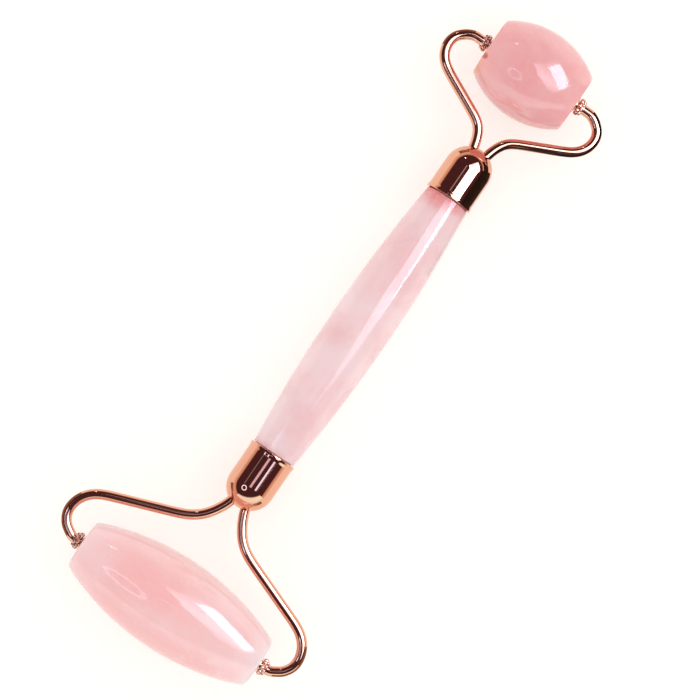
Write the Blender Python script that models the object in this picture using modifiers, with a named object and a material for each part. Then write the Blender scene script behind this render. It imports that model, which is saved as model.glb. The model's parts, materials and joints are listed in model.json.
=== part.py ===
"""Double-ended face roller lying flat: a stone handle with a bent-wire fork and a stone roller at each end.

Frame: +Y along the handle from the large roller to the small one, +X along both roller axes, +Z up.
The origin is under the middle of the object, on the surface that the two rollers rest on.
"""

import math
from collections import namedtuple

import bmesh
import bpy
from mathutils import Vector

MM = 0.001
COLLECTION_NAME = "face_roller"
CUTTERS_NAME = "cutters"
SHARP_ANGLE = math.radians(35.0)
EMPTY_SIZE = 10.0 * MM
WELD_DISTANCE = 0.001 * MM

# Rollers
ROLLER_RADIUS = 9.45 * MM
ROLLER_STEPS = 40
ROLLER_CORNER_POINTS = 4
AXLE_DISTANCE = 126.0 * MM
STONE_BORE_RADIUS = 1.70 * MM
# Both rollers rest on a facet, so the axes lie one facet's height above the surface.
AXIS_HEIGHT = ROLLER_RADIUS * math.cos(math.pi / ROLLER_STEPS)

# Handle stone, measured along Y from the object's middle
HANDLE_RADIUS = 6.17 * MM
HANDLE_ARC_RADIUS = 295.0 * MM
HANDLE_SEGMENTS = 12
HANDLE_STEPS = 32
SPIGOT_RADIUS = 4.10 * MM
SPIGOT_LENGTH = 5.30 * MM
STEM_BORE_RADIUS = 2.95 * MM
STEM_BORE_DEPTH = 15.50 * MM
SEAM = 0.15 * MM

# End caps
CAP_RADIUS = 4.88 * MM
CAP_WALL = 0.45 * MM
CAP_RIM_RADIUS = 5.00 * MM
CAP_RIM_WIDTH = 0.80 * MM
CAP_FLOOR_ABOVE_SHOULDER = 1.20 * MM
CAP_STEPS = 32
DOME_SEGMENTS = 7

# Fork wires
WIRE_RADIUS = 1.05 * MM
WIRE_CLEARANCE = 0.08 * MM
STEM_HALF_SPACING = 1.30 * MM
STEM_IN_HANDLE = 13.50 * MM
BEND_STEP = math.radians(3.0)
# The bends ease into each other over this reach, except near the stems and the tips.
WIRE_SPACING = 0.35 * MM
EASING = 1.5 * MM
EASING_RAMP = 4.0 * MM
EASING_WINDOW = 16
STRAIGHT_PAST_BEAD = 0.2 * MM
ROUTE_TOLERANCE = 0.015 * MM

# Sleeves around the two stems of a fork
SLEEVE_INNER_RADIUS = 2.45 * MM
SLEEVE_OUTER_RADIUS = 2.80 * MM
SLEEVE_END_GAP = 0.30 * MM

# Pivots: a bush in the stone and a granulated bead on the wire, at each end of each roller
BUSH_INNER_RADIUS = 1.12 * MM
BUSH_OUTER_RADIUS = 1.60 * MM
BUSH_STEPS = 24
BEAD_WIDTH = 1.45 * MM
BEAD_CORE_RADIUS = 1.29 * MM
BEAD_BALLS = 8
BEAD_SEGMENTS = 48
BEAD_SLICES = 10

Bend = namedtuple("Bend", "x y radius")
BallRow = namedtuple("BallRow", "ring_radius ball_radius along phase")
End = namedtuple(
    "End",
    "name toward axis_y half_length arc_radius face_radius edge_radius segments "
    "bush_proud bush_length bead_start pin_depth cap_rim cap_barrel bends",
)

# The bead's two rows of balls, the larger one on the roller's side
BEAD_ROWS = (
    BallRow(1.37 * MM, 0.49 * MM, 0.49 * MM, 0.0),
    BallRow(1.24 * MM, 0.37 * MM, 1.08 * MM, 0.5),
)

# The bends of one arm, from its stem out to its pivot: x from the handle's axis, y from the object's middle.
LARGE_BENDS = (
    Bend(1.30 * MM, 39.40 * MM, 4.0 * MM),
    Bend(4.56 * MM, 45.92 * MM, 9.5 * MM),
    Bend(26.95 * MM, 54.30 * MM, 6.3 * MM),
    Bend(27.15 * MM, 60.70 * MM, 3.0 * MM),
    Bend(23.40 * MM, 63.00 * MM, 2.0 * MM),
)
SMALL_BENDS = (
    Bend(1.30 * MM, 44.20 * MM, 4.0 * MM),
    Bend(2.85 * MM, 48.80 * MM, 3.0 * MM),
    Bend(17.35 * MM, 55.75 * MM, 4.8 * MM),
    Bend(17.70 * MM, 61.00 * MM, 3.0 * MM),
    Bend(14.20 * MM, 63.00 * MM, 2.0 * MM),
)

ENDS = (
    End(
        name="large",
        toward=-1,
        axis_y=-AXLE_DISTANCE / 2,
        half_length=20.90 * MM,
        arc_radius=52.0 * MM,
        face_radius=5.10 * MM,
        edge_radius=1.20 * MM,
        segments=17,
        bush_proud=0.25 * MM,
        bush_length=7.0 * MM,
        bead_start=21.30 * MM,
        pin_depth=5.5 * MM,
        cap_rim=27.50 * MM,
        cap_barrel=7.75 * MM,
        bends=LARGE_BENDS,
    ),
    End(
        name="small",
        toward=1,
        axis_y=AXLE_DISTANCE / 2,
        half_length=10.25 * MM,
        arc_radius=17.0 * MM,
        face_radius=6.00 * MM,
        edge_radius=0.80 * MM,
        segments=13,
        bush_proud=0.20 * MM,
        bush_length=5.0 * MM,
        bead_start=10.62 * MM,
        pin_depth=3.8 * MM,
        cap_rim=33.25 * MM,
        cap_barrel=6.85 * MM,
        bends=SMALL_BENDS,
    ),
)

# colour, roughness, metallic
LOOKS = {
    "handle_stone": ((0.86, 0.62, 0.62), 0.12, 0.0),
    "large_roller_stone": ((0.90, 0.52, 0.52), 0.10, 0.0),
    "small_roller_stone": ((0.84, 0.40, 0.40), 0.10, 0.0),
    "end_cap": ((0.80, 0.45, 0.34), 0.08, 1.0),
    "fork_wire": ((0.80, 0.46, 0.36), 0.12, 1.0),
    "bead": ((0.82, 0.48, 0.36), 0.20, 1.0),
    "bush": ((0.72, 0.55, 0.35), 0.30, 1.0),
    "stem_sleeve": ((0.70, 0.55, 0.33), 0.40, 1.0),
}


def clear_scene():
    for obj in list(bpy.data.objects):
        bpy.data.objects.remove(obj)


def make_collection(name):
    collection = bpy.data.collections.new(name)
    bpy.context.scene.collection.children.link(collection)
    return collection


def make_material(name):
    colour, roughness, metallic = LOOKS[name]
    material = bpy.data.materials.new(name)
    material.use_nodes = True
    shader = material.node_tree.nodes["Principled BSDF"]
    shader.inputs["Base Color"].default_value = (*colour, 1.0)
    shader.inputs["Roughness"].default_value = roughness
    shader.inputs["Metallic"].default_value = metallic
    return material


def make_empty(name, location, collection):
    empty = bpy.data.objects.new(name, None)
    empty.location = location
    empty.empty_display_size = EMPTY_SIZE
    collection.objects.link(empty)
    return empty


def bake(obj, collection):
    """Turns an object with modifiers, or a curve, into a plain welded mesh object of the same name."""
    bpy.context.view_layer.update()
    evaluated = obj.evaluated_get(bpy.context.evaluated_depsgraph_get())
    mesh = bpy.data.meshes.new_from_object(evaluated)
    bm = bmesh.new()
    bm.from_mesh(mesh)
    bmesh.ops.remove_doubles(bm, verts=bm.verts, dist=WELD_DISTANCE)
    bmesh.ops.recalc_face_normals(bm, faces=bm.faces)
    bm.to_mesh(mesh)
    bm.free()
    mesh.shade_smooth()
    mesh.set_sharp_from_angle(angle=SHARP_ANGLE)
    name = obj.name
    solid = bpy.data.objects.new(name + "_solid", mesh)
    solid.matrix_world = obj.matrix_world
    bpy.data.objects.remove(obj)
    solid.name = name
    collection.objects.link(solid)
    return solid


def turned(name, outline, closed, steps, collection, phase=0.0):
    """A solid of revolution about local Z. The outline of (radius, z) runs down its outer side."""
    mesh = bpy.data.meshes.new(name)
    points = [(r * math.cos(phase), r * math.sin(phase), z) for r, z in outline]
    edges = [(i, i + 1) for i in range(len(points) - 1)]
    if closed:
        edges.append((len(points) - 1, 0))
    mesh.from_pydata(points, edges, [])
    obj = bpy.data.objects.new(name, mesh)
    collection.objects.link(obj)
    screw = obj.modifiers.new("turn", "SCREW")
    screw.angle = 2.0 * math.pi
    screw.steps = steps
    screw.render_steps = steps
    screw.use_merge_vertices = True
    screw.merge_threshold = WELD_DISTANCE
    return bake(obj, collection)


def place(obj, parent, location=(0.0, 0.0, 0.0), rotation=(0.0, 0.0, 0.0), material=None):
    obj.parent = parent
    obj.location = location
    obj.rotation_euler = rotation
    if material is not None:
        obj.data.materials.clear()
        obj.data.materials.append(material)


def barrel_outline(end):
    """Outer side of a roller, from its +z end face to its -z one, with rounded corners."""
    half = end.half_length
    sink = end.arc_radius - math.sqrt(end.arc_radius**2 - half**2)
    scale = (ROLLER_RADIUS - end.face_radius) / sink
    tilt = math.atan(scale * half / math.sqrt(end.arc_radius**2 - half**2))
    turn = math.pi / 2 - tilt
    setback = end.edge_radius * math.tan(turn / 2)
    corner_z = half - end.edge_radius
    corner_r = end.face_radius - setback
    upper = []
    for i in range(ROLLER_CORNER_POINTS):
        angle = turn * i / (ROLLER_CORNER_POINTS - 1)
        upper.append(
            (corner_r + end.edge_radius * math.sin(angle), corner_z + end.edge_radius * math.cos(angle))
        )
    arc_end = upper[-1][1]
    # An odd number of segments leaves a level one at the widest place, for the roller to rest on.
    land = arc_end / end.segments
    for i in range(end.segments // 2):
        z = arc_end - land * 2 * (i + 1)
        reach = z - land
        drop = end.arc_radius - math.sqrt(end.arc_radius**2 - reach**2)
        upper.append((ROLLER_RADIUS - scale * drop, z))
    lower = [(r, -z) for r, z in reversed(upper)]
    return upper + lower


def make_roller_stone(end, parent, collection):
    outline = barrel_outline(end)
    outline.append((STONE_BORE_RADIUS, -end.half_length))
    outline.append((STONE_BORE_RADIUS, end.half_length))
    name = f"{end.name}_roller_stone"
    half_step = math.pi / ROLLER_STEPS
    obj = turned(name, outline, True, ROLLER_STEPS, collection, half_step)
    place(obj, parent, rotation=(0.0, math.pi / 2, 0.0), material=make_material(name))


def make_bush(end, side, material, parent, collection):
    outer = end.half_length + end.bush_proud
    inner = outer - end.bush_length
    outline = [
        (BUSH_OUTER_RADIUS, outer),
        (BUSH_OUTER_RADIUS, inner),
        (BUSH_INNER_RADIUS, inner),
        (BUSH_INNER_RADIUS, outer),
    ]
    label = "right" if side > 0 else "left"
    obj = turned(f"{end.name}_{label}_bush", outline, True, BUSH_STEPS, collection)
    place(obj, parent, rotation=(0.0, side * math.pi / 2, 0.0), material=material)


def bead_side_radius(along, angle):
    """How far the bead's side stands from its axis: the outermost ball there, or the core between the balls."""
    reach = BEAD_CORE_RADIUS
    for row in BEAD_ROWS:
        for k in range(BEAD_BALLS):
            off = angle - 2.0 * math.pi * (k + row.phase) / BEAD_BALLS
            across = row.ring_radius * math.sin(off)
            room = row.ball_radius**2 - (along - row.along) ** 2 - across**2
            if room > 0.0 and math.cos(off) > 0.0:
                reach = max(reach, row.ring_radius * math.cos(off) + math.sqrt(room))
    return reach


def make_bead(end, side, material, parent, collection):
    """A ring threaded on the wire tip, whose side is two rows of small balls."""
    label = "right" if side > 0 else "left"
    bore = WIRE_RADIUS + WIRE_CLEARANCE
    bm = bmesh.new()
    rings = []
    for i in range(BEAD_SEGMENTS):
        angle = 2.0 * math.pi * i / BEAD_SEGMENTS
        section = [(bore, 0.0)]
        for k in range(BEAD_SLICES + 1):
            along = BEAD_WIDTH * k / BEAD_SLICES
            section.append((bead_side_radius(along, angle), along))
        section.append((bore, BEAD_WIDTH))
        rings.append([bm.verts.new((r * math.cos(angle), r * math.sin(angle), z)) for r, z in section])
    for ring, following in zip(rings, rings[1:] + rings[:1]):
        for k in range(len(ring)):
            j = (k + 1) % len(ring)
            bm.faces.new((ring[k], following[k], following[j], ring[j]))
    bmesh.ops.recalc_face_normals(bm, faces=bm.faces)
    mesh = bpy.data.meshes.new("bead")
    bm.to_mesh(mesh)
    bm.free()
    mesh.shade_smooth()
    mesh.set_sharp_from_angle(angle=SHARP_ANGLE)
    obj = bpy.data.objects.new(f"{end.name}_{label}_bead", mesh)
    collection.objects.link(obj)
    location = (side * end.bead_start, 0.0, 0.0)
    place(obj, parent, location, (0.0, side * math.pi / 2, 0.0), material)


def unit(vector):
    return vector / vector.length


def bent_route(start, bends, finish):
    """Points along a wire of straight runs that meet in round bends."""
    corners = [Vector(start)] + [Vector((b.x, b.y)) for b in bends] + [Vector(finish)]
    points = [corners[0]]
    for i, bend in enumerate(bends, start=1):
        before = unit(corners[i] - corners[i - 1])
        after = unit(corners[i + 1] - corners[i])
        turn = before.angle_signed(after)
        setback = bend.radius * math.tan(abs(turn) / 2)
        begin = corners[i] - before * setback
        hand = -1.0 if turn > 0 else 1.0
        normal = Vector((-before.y, before.x)) * hand
        centre = begin + normal * bend.radius
        count = max(3, math.ceil(abs(turn) / BEND_STEP) + 1)
        for k in range(count):
            swing = abs(turn) * k / (count - 1)
            points.append(
                centre - normal * bend.radius * math.cos(swing) + before * bend.radius * math.sin(swing)
            )
    points.append(corners[-1])
    return points


def evenly_spaced(route):
    """The same route as points about one wire spacing apart."""
    lengths = [0.0]
    for a, b in zip(route, route[1:]):
        lengths.append(lengths[-1] + (b - a).length)
    count = round(lengths[-1] / WIRE_SPACING)
    points = []
    k = 0
    for i in range(count + 1):
        at = lengths[-1] * i / count
        while k < len(route) - 2 and lengths[k + 1] < at:
            k += 1
        t = (at - lengths[k]) / (lengths[k + 1] - lengths[k])
        points.append(route[k].lerp(route[k + 1], min(t, 1.0)))
    return points


def relaxed(route, straight_tip):
    """The same wire with its bends eased into each other, and its stem and tip left straight."""
    points = evenly_spaced(route)
    last = len(points) - 1
    eased = []
    for i, p in enumerate(points):
        from_stem = i * WIRE_SPACING - STEM_IN_HANDLE
        from_tip = (last - i) * WIRE_SPACING - straight_tip
        free = min(max(min(from_stem, from_tip) / EASING_RAMP, 0.0), 1.0)
        reach = EASING * free
        if reach < WIRE_SPACING / 2:
            eased.append(p)
            continue
        total = Vector((0.0, 0.0))
        weights = 0.0
        for j in range(max(0, i - EASING_WINDOW), min(last, i + EASING_WINDOW) + 1):
            weight = math.exp(-0.5 * ((j - i) * WIRE_SPACING / reach) ** 2)
            total += points[j] * weight
            weights += weight
        eased.append(total / weights)
    return eased


def thinned(points):
    """The few of these points that are enough to keep the route within its tolerance."""
    first, last = points[0], points[-1]
    run = last - first
    worst = 0.0
    worst_index = 0
    for i, p in enumerate(points[1:-1], start=1):
        off = p - first
        distance = abs(run.x * off.y - run.y * off.x) / run.length
        if distance > worst:
            worst = distance
            worst_index = i
    if worst <= ROUTE_TOLERANCE:
        return [first, last]
    return thinned(points[: worst_index + 1])[:-1] + thinned(points[worst_index:])


def arm_route(end):
    """Centreline of the arm at +x, in the plane of the fork, with y growing away from the handle."""
    start = (STEM_HALF_SPACING, end.cap_rim - STEM_IN_HANDLE + SPIGOT_LENGTH)
    tip = end.half_length - end.pin_depth
    straight_tip = end.bead_start + BEAD_WIDTH + STRAIGHT_PAST_BEAD - tip
    route = bent_route(start, end.bends, (tip, abs(end.axis_y)))
    return thinned(relaxed(route, straight_tip))


def make_tube(name, points, radius, collection):
    curve = bpy.data.curves.new(name, "CURVE")
    curve.dimensions = "3D"
    curve.bevel_depth = radius
    curve.bevel_resolution = 4
    curve.use_fill_caps = True
    spline = curve.splines.new("POLY")
    spline.points.add(len(points) - 1)
    for point, place_at in zip(spline.points, points):
        point.co = (*place_at, 1.0)
    obj = bpy.data.objects.new(name, curve)
    collection.objects.link(obj)
    return obj


def make_wire(end, side, material, parent, collection):
    label = "right" if side > 0 else "left"
    points = [(side * p.x, end.toward * p.y, 0.0) for p in arm_route(end)]
    obj = make_tube(f"{end.name}_fork_{label}_wire", points, WIRE_RADIUS, collection)
    place(obj, parent, material=material)


def cap_outline(end):
    """Half section of an end cap, nose up: round nose, barrel, rim, then the inside and its floor."""
    barrel = end.cap_barrel
    outline = []
    for i in range(DOME_SEGMENTS + 1):
        angle = math.pi / 2 * i / DOME_SEGMENTS
        outline.append((CAP_RADIUS * math.sin(angle), barrel + CAP_RADIUS * math.cos(angle)))
    rise = CAP_RIM_RADIUS - CAP_RADIUS
    outline.append((CAP_RADIUS, CAP_RIM_WIDTH))
    outline.append((CAP_RIM_RADIUS, CAP_RIM_WIDTH - rise))
    outline.append((CAP_RIM_RADIUS, rise))
    outline.append((CAP_RADIUS, 0.0))
    inside = CAP_RADIUS - CAP_WALL
    floor = barrel + CAP_FLOOR_ABOVE_SHOULDER
    outline.append((inside, 0.0))
    outline.append((inside, barrel))
    outline.append((inside - CAP_FLOOR_ABOVE_SHOULDER, floor))
    outline.append((0.0, floor))
    return outline


def cut(obj, cutter):
    modifier = obj.modifiers.new(cutter.name, "BOOLEAN")
    modifier.operation = "DIFFERENCE"
    modifier.solver = "EXACT"
    modifier.object = cutter


def mark_cutter(cutter):
    cutter.hide_render = True
    cutter.display_type = "WIRE"


def make_cap(end, material, parent, collection, cutters):
    cap = turned(f"{end.name}_end_cap", cap_outline(end), False, CAP_STEPS, collection)
    rotation = (-end.toward * math.pi / 2, 0.0, 0.0)
    place(cap, parent, (0.0, end.toward * end.cap_rim, 0.0), rotation, material)
    for side in (-1, 1):
        points = [(side * p.x, end.toward * p.y, 0.0) for p in arm_route(end)]
        name = f"{end.name}_wire_hole_{'right' if side > 0 else 'left'}"
        cutter = make_tube(name, points, WIRE_RADIUS + WIRE_CLEARANCE, cutters)
        cutter = bake(cutter, cutters)
        place(cutter, parent)
        mark_cutter(cutter)
        cut(cap, cutter)


def make_stem_sleeve(end, material, parent, collection):
    nose_end = end.cap_rim + end.cap_barrel + CAP_FLOOR_ABOVE_SHOULDER - SLEEVE_END_GAP
    handle_end = end.cap_rim + SPIGOT_LENGTH - STEM_IN_HANDLE - SLEEVE_END_GAP
    outline = [
        (SLEEVE_OUTER_RADIUS, nose_end),
        (SLEEVE_OUTER_RADIUS, handle_end),
        (SLEEVE_INNER_RADIUS, handle_end),
        (SLEEVE_INNER_RADIUS, nose_end),
    ]
    obj = turned(f"{end.name}_stem_sleeve", outline, True, BUSH_STEPS, collection)
    place(obj, parent, rotation=(-end.toward * math.pi / 2, 0.0, 0.0), material=material)


def handle_outline():
    """Half section of the handle stone, small end up: blind bore, spigot, grip, spigot, blind bore."""
    large, small = ENDS
    bottom = -large.cap_rim + SEAM
    top = small.cap_rim - SEAM
    middle = (top + bottom) / 2
    half = (top - bottom) / 2
    outline = [
        (0.0, top + SPIGOT_LENGTH - STEM_BORE_DEPTH),
        (STEM_BORE_RADIUS, top + SPIGOT_LENGTH - STEM_BORE_DEPTH),
        (STEM_BORE_RADIUS, top + SPIGOT_LENGTH),
        (SPIGOT_RADIUS, top + SPIGOT_LENGTH),
        (SPIGOT_RADIUS, top),
    ]
    for i in range(HANDLE_SEGMENTS + 1):
        reach = half * (1.0 - 2.0 * i / HANDLE_SEGMENTS)
        drop = HANDLE_ARC_RADIUS - math.sqrt(HANDLE_ARC_RADIUS**2 - reach**2)
        outline.append((HANDLE_RADIUS - drop, middle + reach))
    outline += [
        (SPIGOT_RADIUS, bottom),
        (SPIGOT_RADIUS, bottom - SPIGOT_LENGTH),
        (STEM_BORE_RADIUS, bottom - SPIGOT_LENGTH),
        (STEM_BORE_RADIUS, bottom - SPIGOT_LENGTH + STEM_BORE_DEPTH),
        (0.0, bottom - SPIGOT_LENGTH + STEM_BORE_DEPTH),
    ]
    return outline


def make_handle_stone(parent, collection):
    obj = turned("handle_stone", handle_outline(), False, HANDLE_STEPS, collection)
    place(obj, parent, rotation=(-math.pi / 2, 0.0, 0.0), material=make_material("handle_stone"))


def make_end(end, frame, collection, cutters, metals):
    """One end of the object: cap, fork and stem sleeve on the handle, then the roller and its pivots."""
    make_cap(end, metals["end_cap"], frame, collection, cutters)
    make_stem_sleeve(end, metals["stem_sleeve"], frame, collection)
    axis = (0.0, end.axis_y, AXIS_HEIGHT)
    fixed = make_empty(f"{end.name}_fork_tips", axis, collection)
    turning = make_empty(f"{end.name}_roller_axis", axis, collection)
    make_roller_stone(end, turning, collection)
    for side in (-1, 1):
        make_wire(end, side, metals["fork_wire"], frame, collection)
        make_bead(end, side, metals["bead"], fixed, collection)
        make_bush(end, side, metals["bush"], turning, collection)


def main():
    clear_scene()
    collection = make_collection(COLLECTION_NAME)
    cutters = make_collection(CUTTERS_NAME)
    metals = {name: make_material(name) for name in ("end_cap", "fork_wire", "bead", "bush", "stem_sleeve")}
    frame = make_empty("handle_axis", (0.0, 0.0, AXIS_HEIGHT), collection)
    make_handle_stone(frame, collection)
    for end in ENDS:
        make_end(end, frame, collection, cutters, metals)
    bpy.context.view_layer.update()


main()
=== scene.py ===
"""Looks of the double-ended face roller: fine meshes and procedural materials on its frame, in a pale studio.

Frame: +Y along the handle from the large roller to the small one, +X along both roller axes, +Z up, metres.
"""

import json
import math
from collections import namedtuple

import bmesh
import bpy
from mathutils import Matrix, Vector


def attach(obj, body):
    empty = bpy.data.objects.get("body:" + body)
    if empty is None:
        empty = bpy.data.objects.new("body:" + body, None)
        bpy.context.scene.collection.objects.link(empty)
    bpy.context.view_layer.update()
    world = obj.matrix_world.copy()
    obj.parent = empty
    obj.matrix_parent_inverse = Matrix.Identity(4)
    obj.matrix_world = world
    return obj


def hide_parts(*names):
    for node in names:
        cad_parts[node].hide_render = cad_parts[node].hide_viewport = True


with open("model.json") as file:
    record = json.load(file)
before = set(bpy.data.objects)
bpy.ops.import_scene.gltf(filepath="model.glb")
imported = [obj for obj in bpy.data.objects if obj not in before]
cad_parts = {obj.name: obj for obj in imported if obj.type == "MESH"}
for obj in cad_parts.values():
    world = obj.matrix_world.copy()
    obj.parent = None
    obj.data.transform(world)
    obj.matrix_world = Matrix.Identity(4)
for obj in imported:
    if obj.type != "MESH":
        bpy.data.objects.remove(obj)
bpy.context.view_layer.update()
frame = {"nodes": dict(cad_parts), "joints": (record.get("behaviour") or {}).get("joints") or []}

MM = 0.001
# The fine meshes stay this much inside the box of the CAD model.
INSET = 0.002 * MM
SIDES = {"left": -1, "right": 1}
SHARP_ANGLE = math.radians(40.0)
# Points of an outline nearer to the axis than this are one point.
ON_AXIS = 1e-7

joint_origins = {j["name"]: Vector(j["pos_m"]) for j in frame["joints"]}
AXIS_HEIGHT = joint_origins["large_roller_spin"].z

# Handle stone
HANDLE_RADIUS = 6.17 * MM
HANDLE_ARC_RADIUS = 295.0 * MM
HANDLE_EDGE = 0.20 * MM
SPIGOT_RADIUS = 4.10 * MM
SPIGOT_LENGTH = 5.30 * MM
STEM_BORE_RADIUS = 2.95 * MM
STEM_BORE_DEPTH = 15.50 * MM
SEAM = 0.15 * MM
HANDLE_ROWS = 60
ROUND_STEPS = 128

# Rollers
STONE_BORE_RADIUS = 1.70 * MM
ROLLER_ROWS = 48
ROLLER_EDGE_ROWS = 8
ROLLER_STEPS = 160
# How many edge radii from a roller's face its long side ends and the rounded edge begins
ROLLER_EDGE_SETBACK = 1.6

# End caps
CAP_RADIUS = 4.88 * MM
CAP_WALL = 0.45 * MM
CAP_RIM_RADIUS = 5.00 * MM
CAP_RIM_WIDTH = 0.80 * MM
CAP_RIM_BLEND = 0.60 * MM
CAP_RIM_EDGE = 0.14 * MM
# Up to here from the rim's face the rim shapes the cap's side, and beyond it the side is plain.
CAP_RIM_REACH = 1.20 * MM
CAP_FLOOR = 1.20 * MM
DOME_ROWS = 28
# Least cosine between a face and the ideal surface for the face to take the surface's normals
CAP_SURFACE_COSINE = 0.97

# Wires
WIRE_RADIUS = 1.05 * MM - INSET
WIRE_HOLE_RADIUS = 1.10 * MM
WIRE_STEPS = 32
BEND_STEP = math.radians(3.0)
STEM_HALF_SPACING = 1.30 * MM
STEM_IN_HANDLE = 13.50 * MM
TIP_CHAMFER = 0.15 * MM
WIRE_SPACING = 0.35 * MM
EASING = 1.5 * MM
EASING_RAMP = 4.0 * MM
EASING_WINDOW = 16
STRAIGHT_PAST_BEAD = 0.2 * MM

# Bushes and beads
BUSH_INNER_RADIUS = 1.12 * MM
BUSH_OUTER_RADIUS = 1.60 * MM
BUSH_EDGE = 0.08 * MM
BUSH_MOUTH_WIDTH = 0.06 * MM
BUSH_MOUTH_DEPTH = 0.10 * MM
BUSH_STEPS = 64
BEAD_WIDTH = 1.45 * MM
BEAD_BORE_RADIUS = 1.08 * MM
BEAD_CORE_RADIUS = 1.29 * MM
BEAD_BALLS = 8
BEAD_SEGMENTS = 192
BEAD_SLICES = 40

# Studio
PANEL_HEIGHT = 410.0 * MM
PANEL_LAYER = 2.0 * MM
RING_STEPS = 64
FLOOR_HALF_WIDTH = 1.5
FLOOR_DROP = 0.02 * MM
COOL_WHITE = (0.82, 0.95, 1.15)

# Camera
CAMERA_LEAN = math.radians(34.4)
CAMERA_HEIGHT = 500.0 * MM
CAMERA_Y = -22.0 * MM
CAMERA_AIM = (0.9 * MM, -2.2 * MM)
VIEW_WIDTH = 137.5 * MM
SENSOR_WIDTH = 36.0

Bend = namedtuple("Bend", "x y radius")
BallRow = namedtuple("BallRow", "ring_radius ball_radius along phase")

# A tint is at full strength within `inner` of its ellipsoid's radii, and fades out to the ellipsoid.
Tint = namedtuple("Tint", "colour centre radii inner strength")

End = namedtuple(
    "End",
    "name toward half_length arc_radius face_radius edge_radius "
    "bush_proud bush_length bead_start pin_depth cap_rim cap_barrel bends",
)

# The bead's two rows of balls, the larger one on the roller's side
BEAD_ROWS = (
    BallRow(1.37 * MM, 0.49 * MM, 0.49 * MM, 0.0),
    BallRow(1.24 * MM, 0.37 * MM, 1.08 * MM, 0.5),
)

ENDS = (
    End(
        name="large",
        toward=-1,
        half_length=20.90 * MM,
        arc_radius=52.0 * MM,
        face_radius=5.10 * MM,
        edge_radius=1.20 * MM,
        bush_proud=0.25 * MM,
        bush_length=7.0 * MM,
        bead_start=21.30 * MM,
        pin_depth=5.5 * MM,
        cap_rim=27.50 * MM,
        cap_barrel=7.75 * MM,
        bends=(
            Bend(1.30 * MM, 39.40 * MM, 4.0 * MM),
            Bend(4.56 * MM, 45.92 * MM, 9.5 * MM),
            Bend(26.95 * MM, 54.30 * MM, 6.3 * MM),
            Bend(27.15 * MM, 60.70 * MM, 3.0 * MM),
            Bend(23.40 * MM, 63.00 * MM, 2.0 * MM),
        ),
    ),
    End(
        name="small",
        toward=1,
        half_length=10.25 * MM,
        arc_radius=17.0 * MM,
        face_radius=6.00 * MM,
        edge_radius=0.80 * MM,
        bush_proud=0.20 * MM,
        bush_length=5.0 * MM,
        bead_start=10.62 * MM,
        pin_depth=3.8 * MM,
        cap_rim=33.25 * MM,
        cap_barrel=6.85 * MM,
        bends=(
            Bend(1.30 * MM, 44.20 * MM, 4.0 * MM),
            Bend(2.85 * MM, 48.80 * MM, 3.0 * MM),
            Bend(17.35 * MM, 55.75 * MM, 4.8 * MM),
            Bend(17.70 * MM, 61.00 * MM, 3.0 * MM),
            Bend(14.20 * MM, 63.00 * MM, 2.0 * MM),
        ),
    ),
)


# ---------------------------------------------------------------- mesh helpers


def finish_mesh(name, bm):
    bmesh.ops.recalc_face_normals(bm, faces=bm.faces)
    mesh = bpy.data.meshes.new(name)
    bm.to_mesh(mesh)
    bm.free()
    mesh.shade_smooth()
    mesh.set_sharp_from_angle(angle=SHARP_ANGLE)
    obj = bpy.data.objects.new(name, mesh)
    bpy.context.scene.collection.objects.link(obj)
    return obj


def handle_axis_point(radius, along, angle):
    return Vector((radius * math.cos(angle), along, AXIS_HEIGHT + radius * math.sin(angle)))


def roller_axis_point(axis_y):
    def point(radius, along, angle):
        return Vector((along, axis_y + radius * math.cos(angle), AXIS_HEIGHT + radius * math.sin(angle)))

    return point


def revolve(name, outline, to_world, steps=ROUND_STEPS, closed=True):
    """Solid of revolution from an outline of (radius, place along the axis)."""
    bm = bmesh.new()
    rings = []
    for radius, along in outline:
        if radius < ON_AXIS:
            rings.append([bm.verts.new(to_world(0.0, along, 0.0))])
        else:
            angles = [2.0 * math.pi * i / steps for i in range(steps)]
            rings.append([bm.verts.new(to_world(radius, along, a)) for a in angles])
    pairs = list(zip(rings, rings[1:]))
    if closed:
        pairs.append((rings[-1], rings[0]))
    for low, high in pairs:
        if len(low) == 1 and len(high) == 1:
            continue
        for i in range(steps):
            j = (i + 1) % steps
            if len(low) == 1:
                bm.faces.new((low[0], high[j], high[i]))
            elif len(high) == 1:
                bm.faces.new((low[i], low[j], high[0]))
            else:
                bm.faces.new((low[i], low[j], high[j], high[i]))
    return finish_mesh(name, bm)


def rounded(corners, rows=5):
    """An outline whose corners (radius, along, rounding) are replaced by arcs. Ends stay as they are."""
    out = []
    for i, (x, y, rounding) in enumerate(corners):
        here = Vector((x, y))
        if rounding <= 0.0 or i in (0, len(corners) - 1):
            out.append(here)
            continue
        before = (Vector(corners[i - 1][:2]) - here).normalized()
        after = (Vector(corners[i + 1][:2]) - here).normalized()
        half = before.angle(after) / 2
        setback = rounding / math.tan(half)
        centre = here + (before + after).normalized() * (rounding / math.sin(half))
        start = here + before * setback - centre
        end = here + after * setback - centre
        swing = start.angle(end)
        for k in range(rows + 1):
            t = k / rows
            weight_a = math.sin((1 - t) * swing) / math.sin(swing)
            weight_b = math.sin(t * swing) / math.sin(swing)
            out.append(centre + start * weight_a + end * weight_b)
    return [(p.x, p.y) for p in out]


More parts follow.
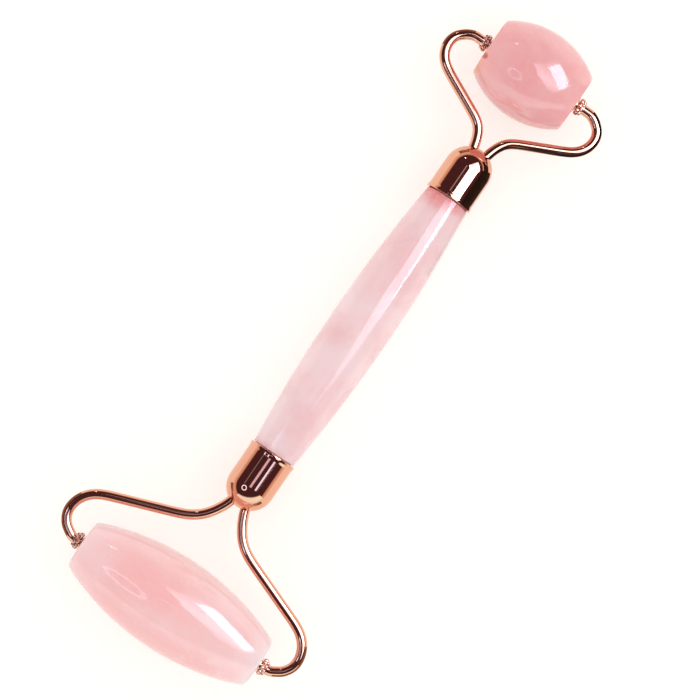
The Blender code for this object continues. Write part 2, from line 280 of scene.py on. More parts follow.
def bent_route(start, bends, finish):
    """Points along a wire of straight runs that meet in round bends."""
    corners = [Vector(start)] + [Vector((b.x, b.y)) for b in bends] + [Vector(finish)]
    points = [corners[0]]
    for i, bend in enumerate(bends, start=1):
        before = (corners[i] - corners[i - 1]).normalized()
        after = (corners[i + 1] - corners[i]).normalized()
        turn = before.angle_signed(after)
        setback = bend.radius * math.tan(abs(turn) / 2)
        begin = corners[i] - before * setback
        hand = -1.0 if turn > 0 else 1.0
        normal = Vector((-before.y, before.x)) * hand
        centre = begin + normal * bend.radius
        count = max(3, math.ceil(abs(turn) / BEND_STEP) + 1)
        for k in range(count):
            swing = abs(turn) * k / (count - 1)
            points.append(centre + bend.radius * (before * math.sin(swing) - normal * math.cos(swing)))
    points.append(corners[-1])
    return points


def evenly_spaced(route):
    """The same route as points about one wire spacing apart."""
    lengths = [0.0]
    for a, b in zip(route, route[1:]):
        lengths.append(lengths[-1] + (b - a).length)
    count = round(lengths[-1] / WIRE_SPACING)
    points = []
    k = 0
    for i in range(count + 1):
        at = lengths[-1] * i / count
        while k < len(route) - 2 and lengths[k + 1] < at:
            k += 1
        t = (at - lengths[k]) / (lengths[k + 1] - lengths[k])
        points.append(route[k].lerp(route[k + 1], min(t, 1.0)))
    return points


def relaxed(route, straight_tip):
    """The same wire with its bends eased into each other, and its stem and tip left straight."""
    points = evenly_spaced(route)
    last = len(points) - 1
    eased = []
    for i, p in enumerate(points):
        from_stem = i * WIRE_SPACING - STEM_IN_HANDLE
        from_tip = (last - i) * WIRE_SPACING - straight_tip
        free = min(max(min(from_stem, from_tip) / EASING_RAMP, 0.0), 1.0)
        reach = EASING * free
        if reach < WIRE_SPACING / 2:
            eased.append(p)
            continue
        total = Vector((0.0, 0.0))
        weights = 0.0
        for j in range(max(0, i - EASING_WINDOW), min(last, i + EASING_WINDOW) + 1):
            weight = math.exp(-0.5 * ((j - i) * WIRE_SPACING / reach) ** 2)
            total += points[j] * weight
            weights += weight
        eased.append(total / weights)
    return eased


def arm_route(end, side):
    """Centreline of one arm in the plane of the fork, from the end of its stem to its tip in the roller."""
    start = (STEM_HALF_SPACING, end.cap_rim - STEM_IN_HANDLE + SPIGOT_LENGTH)
    tip = end.half_length - end.pin_depth
    straight_tip = end.bead_start + BEAD_WIDTH + STRAIGHT_PAST_BEAD - tip
    route = relaxed(bent_route(start, end.bends, (tip, abs(axis_y(end)))), straight_tip)
    return [Vector((side * p.x, end.toward * p.y)) for p in route]


def axis_y(end):
    return joint_origins[f"{end.name}_roller_spin"].y


def sweep(name, route, radius, chamfer=0.0):
    """A round bar along a flat route at the axis height, with closed ends."""
    bm = bmesh.new()
    rings = []
    count = len(route)
    for i, p in enumerate(route):
        tangent = (route[min(i + 1, count - 1)] - route[max(i - 1, 0)]).normalized()
        across = Vector((-tangent.y, tangent.x))
        sections = [(p, radius)]
        if chamfer and i == 0:
            sections = [(p, radius - chamfer), (p + tangent * chamfer, radius)]
        if chamfer and i == count - 1:
            sections = [(p - tangent * chamfer, radius), (p, radius - chamfer)]
        for centre, r in sections:
            ring = []
            for k in range(WIRE_STEPS):
                angle = 2.0 * math.pi * k / WIRE_STEPS
                flat = centre + across * (r * math.cos(angle))
                ring.append(bm.verts.new((flat.x, flat.y, AXIS_HEIGHT + r * math.sin(angle))))
            rings.append(ring)
    for low, high in zip(rings, rings[1:]):
        for k in range(WIRE_STEPS):
            j = (k + 1) % WIRE_STEPS
            bm.faces.new((low[k], low[j], high[j], high[k]))
    bm.faces.new(rings[0])
    bm.faces.new(rings[-1])
    return finish_mesh(name, bm)


# ---------------------------------------------------------------- pieces


def settle(piece, body, node, material):
    piece.data.materials.append(material)
    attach(piece, body)
    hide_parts(node)


def handle_reach():
    large, small = ENDS
    return -large.cap_rim + SEAM, small.cap_rim - SEAM


def handle_side_radius(y):
    bottom, top = handle_reach()
    reach = y - (top + bottom) / 2
    return HANDLE_RADIUS - (HANDLE_ARC_RADIUS - math.sqrt(HANDLE_ARC_RADIUS**2 - reach**2))


def make_handle(material):
    bottom, top = handle_reach()
    corners = [
        (0.0, top + SPIGOT_LENGTH - STEM_BORE_DEPTH, 0.0),
        (STEM_BORE_RADIUS, top + SPIGOT_LENGTH - STEM_BORE_DEPTH, 0.0),
        (STEM_BORE_RADIUS, top + SPIGOT_LENGTH, 0.0),
        (SPIGOT_RADIUS, top + SPIGOT_LENGTH, HANDLE_EDGE),
        (SPIGOT_RADIUS, top, 0.0),
        (handle_side_radius(top), top, HANDLE_EDGE),
    ]
    for i in range(1, HANDLE_ROWS):
        y = top + (bottom - top) * i / HANDLE_ROWS
        corners.append((handle_side_radius(y), y, 0.0))
    corners += [
        (handle_side_radius(bottom), bottom, HANDLE_EDGE),
        (SPIGOT_RADIUS, bottom, 0.0),
        (SPIGOT_RADIUS, bottom - SPIGOT_LENGTH, HANDLE_EDGE),
        (STEM_BORE_RADIUS, bottom - SPIGOT_LENGTH, 0.0),
        (STEM_BORE_RADIUS, bottom - SPIGOT_LENGTH + STEM_BORE_DEPTH, 0.0),
        (0.0, bottom - SPIGOT_LENGTH + STEM_BORE_DEPTH, 0.0),
    ]
    piece = revolve("handle_quartz_bar", rounded(corners), handle_axis_point, closed=False)
    settle(piece, "handle", "handle_stone", material)


def make_roller(end, material):
    half = end.half_length
    sink = end.arc_radius - math.sqrt(end.arc_radius**2 - half**2)
    widest = AXIS_HEIGHT - INSET
    scale = (widest - end.face_radius) / sink

    def side_radius(x):
        return widest - scale * (end.arc_radius - math.sqrt(end.arc_radius**2 - x**2))

    corners = [(STONE_BORE_RADIUS, half, 0.0), (end.face_radius, half, end.edge_radius)]
    arc_end = half - ROLLER_EDGE_SETBACK * end.edge_radius
    for i in range(ROLLER_ROWS + 1):
        x = arc_end * (1.0 - 2.0 * i / ROLLER_ROWS)
        corners.append((side_radius(x), x, 0.0))
    corners += [(end.face_radius, -half, end.edge_radius), (STONE_BORE_RADIUS, -half, 0.0)]
    name = f"{end.name}_roller"
    outline = rounded(corners, rows=ROLLER_EDGE_ROWS)
    piece = revolve(f"{name}_quartz_barrel", outline, roller_axis_point(axis_y(end)), steps=ROLLER_STEPS)
    settle(piece, name, f"{name}_stone", material)


def cap_surface_normal(end, co):
    """Outward normal of a cap's barrel or dome at a point on it."""
    along = end.toward * co.y - end.cap_rim
    beyond = max(0.0, along - end.cap_barrel)
    return Vector((co.x, end.toward * beyond, co.z - AXIS_HEIGHT)).normalized()


def smooth_cap_surface(mesh, end):
    """Give the barrel and dome the ideal surface's normals, so that the holes don't dent the shading."""
    rim_normals = [n.vector.copy() for n in mesh.corner_normals]
    normals = []
    for poly in mesh.polygons:
        for corner, v in zip(poly.loop_indices, poly.vertices):
            co = mesh.vertices[v].co
            ideal = cap_surface_normal(end, co)
            if end.toward * co.y - end.cap_rim <= CAP_RIM_REACH:
                normals.append(rim_normals[corner])
            elif poly.normal.dot(ideal) > CAP_SURFACE_COSINE:
                normals.append(ideal)
            else:
                normals.append(poly.normal.copy())
    mesh.normals_split_custom_set(normals)


def make_cap(end, material):
    barrel = end.cap_barrel
    inside = CAP_RADIUS - CAP_WALL
    rise = CAP_RIM_RADIUS - CAP_RADIUS
    corners = []
    for i in range(DOME_ROWS + 1):
        angle = math.pi / 2 * i / DOME_ROWS
        corners.append((CAP_RADIUS * math.sin(angle), barrel + CAP_RADIUS * math.cos(angle), 0.0))
    corners += [
        (CAP_RADIUS, CAP_RIM_WIDTH + 2 * rise, CAP_RIM_BLEND),
        (CAP_RIM_RADIUS, CAP_RIM_WIDTH - 2 * rise, CAP_RIM_BLEND),
        (CAP_RIM_RADIUS, 0.0, CAP_RIM_EDGE),
        (inside, 0.0, 0.0),
        (inside, barrel, 0.0),
        (inside - CAP_FLOOR, barrel + CAP_FLOOR, 0.0),
        (0.0, barrel + CAP_FLOOR, 0.0),
    ]

    def point(radius, along, angle):
        return handle_axis_point(radius, end.toward * (end.cap_rim + along), angle)

    piece = revolve(f"{end.name}_cap_shell", rounded(corners), point, closed=False)
    for side in SIDES.values():
        cutter = sweep("cutter", arm_route(end, side), WIRE_HOLE_RADIUS)
        modifier = piece.modifiers.new("hole", "BOOLEAN")
        modifier.operation = "DIFFERENCE"
        modifier.solver = "EXACT"
        modifier.object = cutter
        bpy.context.view_layer.update()
        evaluated = piece.evaluated_get(bpy.context.evaluated_depsgraph_get())
        cut_mesh = bpy.data.meshes.new_from_object(evaluated)
        piece.modifiers.clear()
        piece.data = cut_mesh
        bpy.data.objects.remove(cutter)
    piece.data.name = piece.name
    smooth_cap_surface(piece.data, end)
    settle(piece, "handle", f"{end.name}_end_cap", material)


def make_wire(end, side_name, material):
    route = arm_route(end, SIDES[side_name])
    piece = sweep(f"{end.name}_{side_name}_bent_wire", route, WIRE_RADIUS, TIP_CHAMFER)
    settle(piece, "handle", f"{end.name}_fork_{side_name}_wire", material)


def make_bush(end, side_name, material):
    side = SIDES[side_name]
    outer = end.half_length + end.bush_proud
    inner = outer - end.bush_length
    corners = [
        (BUSH_INNER_RADIUS, inner, 0.0),
        (BUSH_OUTER_RADIUS, inner, 0.0),
        (BUSH_OUTER_RADIUS, outer, BUSH_EDGE),
        (BUSH_INNER_RADIUS + BUSH_MOUTH_WIDTH, outer, 0.0),
        (BUSH_INNER_RADIUS, outer - BUSH_MOUTH_DEPTH, 0.0),
    ]
    to_world = roller_axis_point(axis_y(end))

    def point(radius, along, angle):
        return to_world(radius, side * along, angle)

    piece = revolve(f"{end.name}_{side_name}_bush_ring", rounded(corners), point, steps=BUSH_STEPS)
    settle(piece, f"{end.name}_roller", f"{end.name}_{side_name}_bush", material)


def bead_side_radius(along, angle):
    """How far the bead's side stands from its axis: the outermost ball there, or the core between balls."""
    reach = BEAD_CORE_RADIUS
    for row in BEAD_ROWS:
        for k in range(BEAD_BALLS):
            off = angle - 2.0 * math.pi * (k + row.phase) / BEAD_BALLS
            across = row.ring_radius * math.sin(off)
            room = row.ball_radius**2 - (along - row.along) ** 2 - across**2
            if room > 0.0 and math.cos(off) > 0.0:
                reach = max(reach, row.ring_radius * math.cos(off) + math.sqrt(room))
    return reach


def make_bead(end, side_name, material):
    """A ring threaded on the wire tip, whose side is two rows of small balls."""
    side = SIDES[side_name]
    to_world = roller_axis_point(axis_y(end))
    bm = bmesh.new()
    rings = []
    for i in range(BEAD_SEGMENTS):
        angle = 2.0 * math.pi * i / BEAD_SEGMENTS
        section = [(BEAD_BORE_RADIUS, 0.0)]
        for k in range(BEAD_SLICES + 1):
            along = BEAD_WIDTH * k / BEAD_SLICES
            section.append((bead_side_radius(along, angle), along))
        section.append((BEAD_BORE_RADIUS, BEAD_WIDTH))
        rings.append([bm.verts.new(to_world(r, side * (end.bead_start + x), angle)) for r, x in section])
    for ring, following in zip(rings, rings[1:] + rings[:1]):
        for k in range(len(ring)):
            j = (k + 1) % len(ring)
            bm.faces.new((ring[k], following[k], following[j], ring[j]))
    piece = finish_mesh(f"{end.name}_{side_name}_granule_bead", bm)
    settle(piece, "handle", f"{end.name}_{side_name}_bead", material)


# ---------------------------------------------------------------- materials


class Graph:
    """Small helper around a material's node tree."""

    def __init__(self, name):
        self.material = bpy.data.materials.new(name)
        self.material.use_nodes = True
        self.tree = self.material.node_tree
        self.shader = self.tree.nodes["Principled BSDF"]
        coords = self.tree.nodes.new("ShaderNodeTexCoord")
        self.object_coords = coords.outputs["Object"]

    def add(self, kind, inputs=None, **settings):
        node = self.tree.nodes.new(kind)
        for key, value in settings.items():
            setattr(node, key, value)
        for key, value in (inputs or {}).items():
            self.put(node.inputs[key], value)
        return node

    def put(self, socket, value):
        if isinstance(value, bpy.types.NodeSocket):
            self.tree.links.new(value, socket)
        else:
            socket.default_value = value

    def millimetres(self, centre=(0.0, 0.0, 0.0), radii=(1.0, 1.0, 1.0)):
        """Object coordinates in millimetres, measured from centre and divided by radii."""
        scale = [1000.0 / r for r in radii]
        location = [-c * s / 1000.0 for c, s in zip(centre, scale)]
        inputs = {"Vector": self.object_coords, "Location": location, "Scale": scale}
        return self.add("ShaderNodeMapping", inputs).outputs["Vector"]

    def noise(self, vector, scale, detail=3.0, roughness=0.5, distortion=0.0):
        inputs = {
            "Vector": vector,
            "Scale": scale,
            "Detail": detail,
            "Roughness": roughness,
            "Distortion": distortion,
        }
        return self.add("ShaderNodeTexNoise", inputs).outputs["Fac"]

    def remap(self, value, low, high, to_low=0.0, to_high=1.0):
        inputs = {"Value": value, "From Min": low, "From Max": high, "To Min": to_low, "To Max": to_high}
        return self.add("ShaderNodeMapRange", inputs, interpolation_type="SMOOTHSTEP").outputs["Result"]

    def maths(self, operation, a, b=0.0):
        node = self.add("ShaderNodeMath", operation=operation)
        self.put(node.inputs[0], a)
        self.put(node.inputs[1], b)
        return node.outputs["Value"]

    def mix(self, factor, a, b):
        node = self.add("ShaderNodeMix", data_type="RGBA")
        self.put(node.inputs["Factor"], factor)
        self.put(node.inputs[6], a)
        self.put(node.inputs[7], b)
        return node.outputs[2]

    def bump(self, height, strength, distance):
        inputs = {"Height": height, "Strength": strength, "Distance": distance}
        return self.add("ShaderNodeBump", inputs).outputs["Normal"]

    def set(self, **values):
        for key, value in values.items():
            self.put(self.shader.inputs[key.replace("_", " ")], value)


def rgb(r, g, b):
    return (r, g, b, 1.0)


def quartz_material(name, pale, body, veil, tints, cloud_size, seed, veins):
    """Polished rose quartz: soft clouds, pale veils and tints, some of which are painted reflections and
    painted shade. The seed shifts the clouds along X.
    """
    g = Graph(name)
    mm = g.millimetres(centre=(seed, 0.0, 0.0))
    clouds = g.noise(mm, scale=1.0 / cloud_size, detail=3.0, roughness=0.55, distortion=0.4)
    colour = g.mix(g.remap(clouds, low=0.35, high=0.66), pale, body)
    for tint in tints:
        distance = g.add("ShaderNodeVectorMath", operation="LENGTH")
        g.put(distance.inputs[0], g.millimetres(tint.centre, tint.radii))
        wobble = g.maths("MULTIPLY", g.noise(mm, scale=0.22, detail=3.0), 0.5)
        reach = g.maths("ADD", distance.outputs["Value"], g.maths("SUBTRACT", wobble, 0.25))
        inside = g.remap(reach, low=1.0, high=tint.inner, to_high=tint.strength)
        colour = g.mix(inside, colour, tint.colour)
    # Veils are thin pale sheets where a slow noise crosses its middle value, in some regions only.
    veils = g.noise(mm, scale=0.13, detail=2.0, distortion=1.6)
    ridge = g.maths("ABSOLUTE", g.maths("SUBTRACT", veils, 0.5))
    regions = g.remap(g.noise(mm, scale=0.09, detail=1.0), low=0.48, high=0.62)
    thin = g.maths("MULTIPLY", g.remap(ridge, low=0.045, high=0.0), regions)
    colour = g.mix(g.maths("MULTIPLY", thin, veins), colour, veil)
    grains = g.noise(mm, scale=1.6, detail=2.0, roughness=0.6)
    colour = g.mix(g.remap(grains, low=0.3, high=0.7, to_high=0.10), colour, veil)
    polish = g.noise(mm, scale=0.5, detail=4.0, roughness=0.6)
    unevenness = g.noise(mm, scale=0.35, detail=2.0)
    g.set(
        Base_Color=colour,
        Roughness=g.remap(polish, low=0.3, high=0.7, to_low=0.05, to_high=0.12),
        IOR=1.54,
        Subsurface_Weight=0.5,
        Subsurface_Radius=(1.0, 0.55, 0.5),
        Subsurface_Scale=3.0 * MM,
        Normal=g.bump(unevenness, strength=0.25, distance=0.03 * MM),
    )
    return g.material


def metal_material(name, colour, worn, rough_low, rough_high, grain=2.2, bump=0.10):
    """Polished plating: faint tone patches, hairline scuffs and a little unevenness."""
    g = Graph(name)
    mm = g.millimetres()
    patches = g.noise(mm, scale=0.4, detail=4.0, roughness=0.6)
    scuff_space = g.millimetres(radii=(1.0, 0.12, 1.0))
    scuffs = g.noise(scuff_space, scale=grain, detail=5.0, roughness=0.7)
    unevenness = g.noise(mm, scale=0.5, detail=3.0)
    g.set(
        Base_Color=g.mix(g.remap(patches, low=0.3, high=0.75, to_high=0.35), colour, worn),
        Metallic=1.0,
        Roughness=g.remap(scuffs, low=0.35, high=0.75, to_low=rough_low, to_high=rough_high),
        Normal=g.bump(unevenness, strength=bump, distance=0.01 * MM),
    )
    return g.material


def floor_material():
    """White translucent board on a light table: it glows a little, so that shadows on it stay pale."""
    g = Graph("floor_board")
    mm = g.millimetres()
    fibre = g.noise(mm, scale=0.8, detail=4.0, roughness=0.6)
    darker, lighter = rgb(0.55, 0.535, 0.51), rgb(0.58, 0.565, 0.54)
    g.set(
        Base_Color=g.mix(g.remap(fibre, low=0.3, high=0.7), darker, lighter),
        Roughness=0.95,
        Specular_IOR_Level=0.1,
        Emission_Color=rgb(1.0, 0.98, 0.94),
        Emission_Strength=0.52,
    )
    return g.material


# ---------------------------------------------------------------- studio


def set_ramp(ramp, stops):
    while len(ramp.elements) < len(stops):
        ramp.elements.new(1.0)
    for element, (position, colour) in zip(ramp.elements, stops):
        element.position = position
        element.color = colour


def make_world():
    """White for the camera, even for matt surfaces, and dark over a warm horizon for shiny ones."""
    world = bpy.data.worlds.new("studio")
    bpy.context.scene.world = world
    world.use_nodes = True
    tree = world.node_tree
    tree.nodes.clear()
    new = tree.nodes.new
    link = tree.links.new

    def background(colour):
        node = new("ShaderNodeBackground")
        node.inputs["Color"].default_value = colour
        return node

    def blend(factor, first, second):
        node = new("ShaderNodeMixShader")
        link(factor, node.inputs["Fac"])
        link(first.outputs[0], node.inputs[1])
        link(second.outputs[0], node.inputs[2])
        return node

    # The ramp runs over the sine of the height above the horizon.
    horizon, copper_glow = rgb(0.95, 0.92, 0.86), rgb(0.78, 0.42, 0.30)
    between, ceiling = rgb(0.76, 0.62, 0.52), rgb(0.070, 0.030, 0.040)
    coords = new("ShaderNodeTexCoord")
    split = new("ShaderNodeSeparateXYZ")
    link(coords.outputs["Generated"], split.inputs[0])
    ramp = new("ShaderNodeValToRGB")
    set_ramp(ramp.color_ramp, ((0.04, horizon), (0.17, between), (0.28, copper_glow), (0.34, ceiling)))
    link(split.outputs["Z"], ramp.inputs["Fac"])
    shiny = new("ShaderNodeBackground")
    link(ramp.outputs["Color"], shiny.inputs["Color"])
    path = new("ShaderNodeLightPath")
    by_gloss = blend(path.outputs["Is Glossy Ray"], background(rgb(1.0, 0.985, 0.97)), shiny)
    by_camera = blend(path.outputs["Is Camera Ray"], by_gloss, background(rgb(1.0, 1.0, 1.0)))
    output = new("ShaderNodeOutputWorld")
    link(by_camera.outputs[0], output.inputs["Surface"])


def make_area_light(name, place, along, size, radiance, glossy, diffuse):
    """A rectangular panel overhead that faces down, with its first side along a direction on the floor."""
    light = bpy.data.lights.new(name, "AREA")
    light.shape = "RECTANGLE"
    light.size, light.size_y = size
    light.energy = radiance * math.pi * size[0] * size[1]
    x = Vector((*along, 0.0)).normalized()
    z = Vector((0.0, 0.0, 1.0))
    rotation = Matrix((x, z.cross(x), z)).transposed()
    obj = bpy.data.objects.new(name, light)
    obj.matrix_world = Matrix.Translation((*place, PANEL_HEIGHT)) @ rotation.to_4x4()
    obj.visible_camera = False
    obj.visible_glossy = glossy
    obj.visible_diffuse = diffuse
    bpy.context.scene.collection.objects.link(obj)


def glow_material(name, colour, strength):
    material = bpy.data.materials.new(name)
    material.use_nodes = True
    shader = material.node_tree.nodes["Principled BSDF"]
    shader.inputs["Base Color"].default_value = rgb(0.0, 0.0, 0.0)
    shader.inputs["Emission Color"].default_value = rgb(*colour)
    shader.inputs["Emission Strength"].default_value = strength
    return material


def fading_glow_material(name, colour, strength, axis, start, end, levels):
    """A glow whose strength follows `levels` (position, share) from start to end along an axis."""
    material = glow_material(name, colour, strength)
    tree = material.node_tree
    coordinates = tree.nodes.new("ShaderNodeTexCoord")
    split = tree.nodes.new("ShaderNodeSeparateXYZ")
    place = tree.nodes.new("ShaderNodeMapRange")
    place.inputs["From Min"].default_value = start
    place.inputs["From Max"].default_value = end
    share = tree.nodes.new("ShaderNodeValToRGB")
    set_ramp(share.color_ramp, [(position, rgb(level, level, level)) for position, level in levels])
    scale = tree.nodes.new("ShaderNodeMath")
    scale.operation = "MULTIPLY"
    scale.inputs[1].default_value = strength
    tree.links.new(coordinates.outputs["Object"], split.inputs[0])
    tree.links.new(split.outputs[axis], place.inputs["Value"])
    tree.links.new(place.outputs[0], share.inputs[0])
    tree.links.new(share.outputs[0], scale.inputs[0])
    tree.links.new(scale.outputs[0], tree.nodes["Principled BSDF"].inputs["Emission Strength"])
    return material


def stage_reflection(name, bm, material):
    """A stage object that shows only in reflections."""
    obj = finish_mesh(name, bm)
    obj.data.materials.append(material)
    obj.visible_camera = False
    obj.visible_diffuse = False
    obj.visible_transmission = False
    obj.visible_shadow = False


def make_panel(name, corners, material, layer=0):
    """A flat panel overhead, from its corners (x, y) in millimetres. Layer 1 hangs just under layer 0."""
    height = PANEL_HEIGHT - layer * PANEL_LAYER
    bm = bmesh.new()
    bm.faces.new([bm.verts.new((x * MM, y * MM, height)) for x, y in corners])
    stage_reflection(name, bm, material)


def make_softbox():
    """The large window-like panel, with a dimmer rim around it that fades towards both ends of the handle."""
    levels = ((0.0, 0.40), (0.3, 1.0), (0.5, 1.0), (0.85, 0.40))
    rim_glow = fading_glow_material("rim_glow", COOL_WHITE, 4.2, "Y", -50 * MM, 300 * MM, levels)
    rim = ((-50, 165), (210, 640), (530, 325), (310, -44), (203, -42), (139, -9), (25, 53), (22, 90))
    make_panel("softbox_rim", rim, rim_glow)
    middle = ((80, 268), (218, 600), (480, 325), (345, 48))
    make_panel("softbox", middle, glow_material("softbox_glow", COOL_WHITE, 11.0), layer=1)


def make_strip(name, x_range, y_range, colour, strength):
    (left, right), (low, high) = x_range, y_range
    corners = ((left, low), (left, high), (right, high), (right, low))
    make_panel(name, corners, glow_material(f"{name}_glow", colour, strength))


def make_ring_lamp(place, inner, outer, aim, material):
    """A flat ring overhead that faces a point on the object."""
    centre = Vector((*place, PANEL_HEIGHT))
    toward = (aim - centre).normalized()
    side = toward.cross(Vector((0.0, 0.0, 1.0))).normalized()
    up = side.cross(toward)
    angles = [2.0 * math.pi * i / RING_STEPS for i in range(RING_STEPS)]
    bm = bmesh.new()
    low, high = (
        [bm.verts.new(centre + side * (r * math.cos(a)) + up * (r * math.sin(a))) for a in angles]
        for r in (inner, outer)
    )
    for i in range(RING_STEPS):
        j = (i + 1) % RING_STEPS
        bm.faces.new((low[i], low[j], high[j], high[i]))
    stage_reflection("ring_lamp", bm, material)


def make_upright(name, run, height, material):
    """A card that stands on the floor along a run of points (x, y), in millimetres like its height."""
    bm = bmesh.new()
    low = [bm.verts.new((x * MM, y * MM, 0.0)) for x, y in run]
    high = [bm.verts.new((x * MM, y * MM, height * MM)) for x, y in run]
    for i in range(len(run) - 1):
        bm.faces.new((low[i], low[i + 1], high[i + 1], high[i]))
    stage_reflection(name, bm, material)


def make_cards():
    """Low dark cards that darken the wires' outer edges, and a tall pale one for the large cap's nose."""
    low, higher = 14, 20
    black = glow_material("flag_black", (0.0, 0.0, 0.0), 0.0)
    copper = glow_material("flag_copper", (1.0, 0.50, 0.30), 0.28)
    around_small_right = ((15, 20), (15, 49), (24, 51), (30, 58), (26, 70), (16, 72))
    make_upright("flag_small_right", around_small_right, higher, black)
    make_upright("flag_small_left", ((-29, 58), (-25, 70), (-16, 72)), low, copper)
    make_upright("flag_large_right", ((36, -50), (38, -64), (30, -74)), low, copper)
    make_upright("flag_large_left", ((-36, -50), (-38, -64), (-30, -74)), low, copper)
    tall = 275
    levels = ((0.0, 0.7), (0.4, 1.0), (0.80, 1.0), (1.0, 0.0))
    card_glow = fading_glow_material("card_glow", (1.0, 1.30, 1.30), 1.15, "Z", 0.0, tall * MM, levels)
    make_upright("white_card", ((-260, -576), (426, -107)), tall, card_glow)


def make_floor():
    bm = bmesh.new()
    half = FLOOR_HALF_WIDTH
    corners = ((-half, -half), (half, -half), (half, half), (-half, half))
    bm.faces.new([bm.verts.new((x, y, -FLOOR_DROP)) for x, y in corners])
    mesh = bpy.data.meshes.new("floor")
    bm.to_mesh(mesh)
    bm.free()
    obj = bpy.data.objects.new("floor", mesh)
    bpy.context.scene.collection.objects.link(obj)
    mesh.materials.append(floor_material())


def make_studio():
    """Even light and a soft key that only shades, and panels, strips, a ring and cards that only reflect."""
    make_world()
    key_place, key_size = (268 * MM, 243 * MM), (410 * MM, 460 * MM)
    make_area_light("key", key_place, (0.74, -0.67), key_size, 0.6, glossy=False, diffuse=True)
    lamp_place, lamp_size = (-440 * MM, 460 * MM), (50 * MM, 50 * MM)
    make_area_light("lamp", lamp_place, (1.0, 0.0), lamp_size, 14.0, glossy=True, diffuse=False)
    make_softbox()
    # The bluer strips look white or pale pink in the copper-coloured caps.
    make_strip("strip_one", (-120, -84), (68, 125), COOL_WHITE, 0.45)
    make_strip("strip_two", (-40, 34), (-62, -29), (1.0, 1.0, 1.5), 0.85)
    make_strip("strip_three", (-285, -245), (-66, -29), COOL_WHITE, 0.28)
    make_strip("strip_four", (172, 246), (-62, -29), (1.0, 1.4, 2.3), 1.2)
    ring_glow = glow_material("ring_glow", (0.80, 1.0, 1.45), 2.4)
    large_cap_nose = Vector((0.0, -35 * MM, AXIS_HEIGHT))
    make_ring_lamp((-175 * MM, -195 * MM), 74 * MM, 102 * MM, large_cap_nose, ring_glow)
    make_cards()
    make_floor()


def make_camera():
    """Nearly straight above, with the handle leaning to the right of upright."""
    target = Vector((*CAMERA_AIM, AXIS_HEIGHT))
    position = Vector((target.x, CAMERA_Y, AXIS_HEIGHT + CAMERA_HEIGHT))
    back = (position - target).normalized()
    right = Vector((-math.sin(CAMERA_LEAN), math.cos(CAMERA_LEAN), 0.0)).cross(back).normalized()
    up = back.cross(right)
    camera = bpy.data.cameras.new("camera")
    camera.sensor_width = SENSOR_WIDTH
    camera.lens = SENSOR_WIDTH * (position - target).length / VIEW_WIDTH
    camera.clip_start = 0.01
    camera.clip_end = 20.0
    obj = bpy.data.objects.new("camera", camera)
    obj.matrix_world = Matrix.Translation(position) @ Matrix((right, up, back)).transposed().to_4x4()
    bpy.context.scene.collection.objects.link(obj)
    bpy.context.scene.camera = obj


# ---------------------------------------------------------------- build


def dress_hidden_nodes(names, material):
    for name in names:
        node = frame["nodes"][name]
        node.data.materials.clear()
        node.data.materials.append(material)


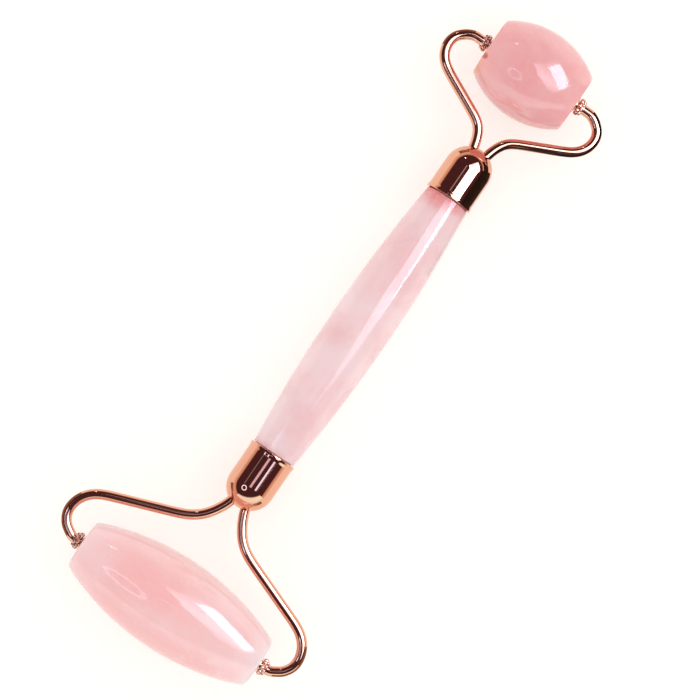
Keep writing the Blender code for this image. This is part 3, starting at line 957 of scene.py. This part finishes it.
def make_stone_materials():
    """The quartz of the handle and of each roller, with the tints' places in millimetres."""
    handle = quartz_material(
        "handle_rose_quartz",
        pale=rgb(0.87, 0.66, 0.68),
        body=rgb(0.84, 0.55, 0.57),
        veil=rgb(0.90, 0.72, 0.73),
        tints=[
            # painted coral reflections of the rose-gold caps in the stone: a strong one under the small cap,
            # and a weaker one over the large cap
            Tint(rgb(0.74, 0.06, 0.05), (-2.0, 36.8, 9.4), (14.0, 8.2, 14.0), 0.4, 0.95),
            Tint(rgb(0.76, 0.30, 0.33), (-2.0, -30.5, 9.4), (12.0, 5.0, 12.0), 0.5, 0.55),
        ],
        cloud_size=11.0,
        seed=3.0,
        veins=0.10,
    )
    large = quartz_material(
        "large_roller_rose_quartz",
        pale=rgb(0.905, 0.615, 0.62),
        body=rgb(0.905, 0.575, 0.575),
        veil=rgb(0.92, 0.76, 0.77),
        tints=[
            # coral in the middle, paler right and left ends, and painted shade on the side away from the
            # handle, which offsets the white card's reflection there
            Tint(rgb(0.92, 0.445, 0.445), (-4.4, -61.3, 16.0), (15.6, 8.0, 9.0), 0.2, 0.67),
            Tint(rgb(0.86, 0.76, 0.79), (26.5, -63.0, 9.4), (13.0, 14.0, 14.0), 0.40, 0.90),
            Tint(rgb(0.90, 0.68, 0.69), (-25.0, -63.0, 9.4), (10.0, 14.0, 14.0), 0.4, 0.7),
            Tint(rgb(0.89, 0.49, 0.49), (0.0, -70.0, 14.0), (24.0, 5.2, 10.0), 0.4, 0.9),
        ],
        cloud_size=10.0,
        seed=11.0,
        veins=0.22,
    )
    small = quartz_material(
        "small_roller_rose_quartz",
        pale=rgb(0.825, 0.445, 0.45),
        body=rgb(0.81, 0.395, 0.40),
        veil=rgb(0.86, 0.56, 0.57),
        tints=[
            # a deeper middle, an orange left edge, and on it a small brown spot that is a painted reflection
            # of the bead
            Tint(rgb(0.785, 0.345, 0.355), (-1.0, 62.0, 15.0), (8.0, 8.0, 8.0), 0.2, 0.6),
            Tint(rgb(0.86, 0.40, 0.26), (-10.4, 58.4, 12.0), (2.6, 4.5, 5.0), 0.3, 0.6),
            Tint(rgb(0.45, 0.08, 0.03), (-9.9, 60.0, 14.6), (1.3, 0.8, 1.3), 0.5, 0.8),
        ],
        cloud_size=7.0,
        seed=29.0,
        veins=0.18,
    )
    return {"handle": handle, "large": large, "small": small}


def make_metal_materials():
    """The metals, by the pieces that have them."""
    gold, worn_gold = rgb(0.79, 0.39, 0.26), rgb(0.83, 0.46, 0.33)
    cast, worn_cast = rgb(0.85, 0.49, 0.40), rgb(0.87, 0.55, 0.46)
    brass, worn_brass = rgb(0.74, 0.52, 0.30), rgb(0.66, 0.44, 0.24)
    dull_brass, worn_dull_brass = rgb(0.70, 0.50, 0.28), rgb(0.60, 0.42, 0.22)
    return {
        "cap": metal_material("rose_gold_polished", gold, worn_gold, 0.03, 0.10),
        "wire": metal_material("rose_gold_wire", gold, worn_gold, 0.04, 0.14, grain=3.0, bump=0.2),
        "bead": metal_material("rose_gold_cast", cast, worn_cast, 0.10, 0.24, grain=3.0, bump=0.4),
        "bush": metal_material("bush_brass", brass, worn_brass, 0.18, 0.35),
        "sleeve": metal_material("sleeve_brass", dull_brass, worn_dull_brass, 0.30, 0.50),
    }


def main():
    stones = make_stone_materials()
    metals = make_metal_materials()
    make_handle(stones["handle"])
    for end in ENDS:
        make_roller(end, stones[end.name])
        make_cap(end, metals["cap"])
        for side_name in SIDES:
            make_wire(end, side_name, metals["wire"])
            make_bush(end, side_name, metals["bush"])
            make_bead(end, side_name, metals["bead"])
    dress_hidden_nodes([f"{end.name}_stem_sleeve" for end in ENDS], metals["sleeve"])
    make_studio()
    make_camera()
    bpy.context.scene.view_settings.view_transform = "Standard"


main()
